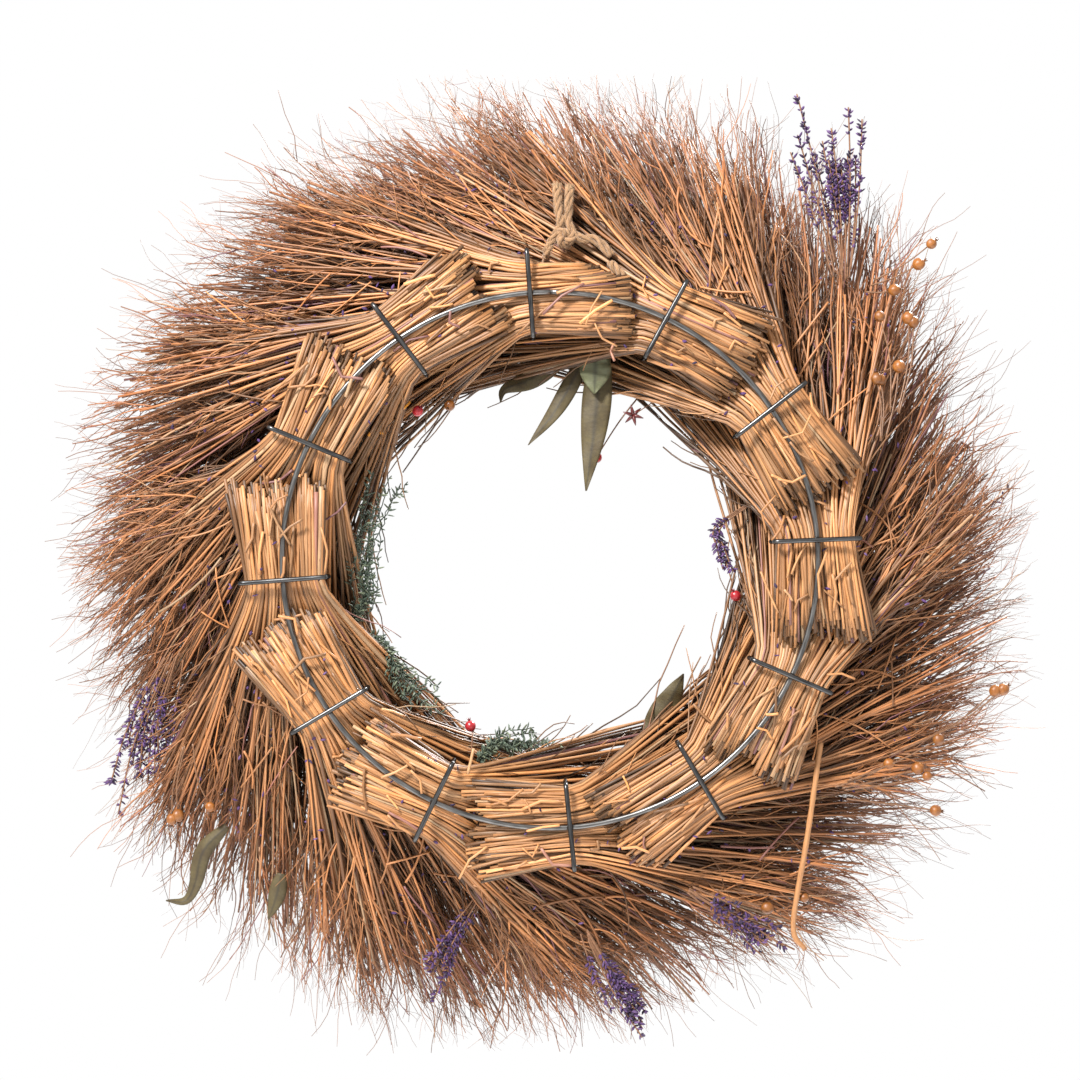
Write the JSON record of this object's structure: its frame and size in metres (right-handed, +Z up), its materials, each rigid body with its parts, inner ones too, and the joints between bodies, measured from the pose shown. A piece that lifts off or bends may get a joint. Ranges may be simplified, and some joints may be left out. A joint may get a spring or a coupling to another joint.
{
  "type": "door wreath",
  "caption": "Round harvest wreath of dried stem bundles clamped on a wire ring, with leaves, pods, berries and a swinging twine hanger.",
  "frame": {"origin": "the point under the hanger's knot where the twine sits on a door hook", "axes": "+Z up as hung, -Y out of the dressed front, +Y out of the wire back, towards the door"},
  "size_m": [0.5325, 0.0789, 0.5284],
  "materials": {
    "ring_wire": "drawn steel wire, grey, satin",
    "clamp_wire": "drawn steel wire, dark grey with bright worn edges",
    "dried_stems": "dry golden-brown stems, matt to slightly waxy",
    "jute_twine": "three-ply jute, hairy",
    "lavender": "dried purple flower spikes",
    "seed_pod": "orange-brown dry pods, waxy",
    "berry": "small red berries, slightly wrinkled",
    "dry_leaf": "olive-brown dry leaves, matt",
    "green_sprig": "preserved grey-green small leaves",
    "thick_stalk": "one thick tan stalk"
  },
  "bodies": {
    "hanger": {"hanger_leg_left": "jute_twine", "hanger_leg_right": "jute_twine", "hanger_tail_left": "jute_twine", "hanger_tail_right": "jute_twine", "hanger_knot": "jute_twine"},
    "wreath": {"frame_ring": "ring_wire", "clamp_01": "clamp_wire", "clamp_02": "clamp_wire", "clamp_03": "clamp_wire", "clamp_04": "clamp_wire", "clamp_05": "clamp_wire", "clamp_06": "clamp_wire", "clamp_07": "clamp_wire", "clamp_08": "clamp_wire", "clamp_09": "clamp_wire", "clamp_10": "clamp_wire", "clamp_11": "clamp_wire", "clamp_12": "clamp_wire", "twig_bundle_01": "dried_stems", "twig_bundle_02": "dried_stems", "twig_bundle_03": "dried_stems", "twig_bundle_04": "dried_stems", "twig_bundle_05": "dried_stems", "twig_bundle_06": "dried_stems", "twig_bundle_07": "dried_stems", "twig_bundle_08": "dried_stems", "twig_bundle_09": "dried_stems", "twig_bundle_10": "dried_stems", "twig_bundle_11": "dried_stems", "twig_bundle_12": "dried_stems", "hanger_tie": "jute_twine", "lavender_spike_01": "lavender", "lavender_spike_02": "lavender", "lavender_spike_03": "lavender", "lavender_spike_04": "lavender", "lavender_spike_05": "lavender", "lavender_spike_06": "lavender", "flax_pod_01": "seed_pod", "flax_pod_02": "seed_pod", "flax_pod_03": "seed_pod", "flax_pod_04": "seed_pod", "flax_pod_05": "seed_pod", "flax_pod_06": "seed_pod", "flax_pod_07": "seed_pod", "berry_01": "berry", "berry_02": "berry", "berry_03": "berry", "berry_04": "berry", "berry_05": "berry", "leaf_01": "dry_leaf", "leaf_02": "dry_leaf", "leaf_03": "dry_leaf", "leaf_04": "dry_leaf", "leaf_05": "dry_leaf", "leaf_06": "dry_leaf", "leaf_07": "dry_leaf", "green_sprig_01": "green_sprig", "green_sprig_02": "green_sprig", "green_sprig_03": "green_sprig", "cross_stalk": "thick_stalk"}
  },
  "joints": [
    {"name": "hanger_swing", "type": "hinge", "parent": "hanger", "child": "wreath", "pos_m": [0, 0.00331, -0.0038], "axis": [1, 0, 0], "range_deg": [0, 90]}
  ]
}
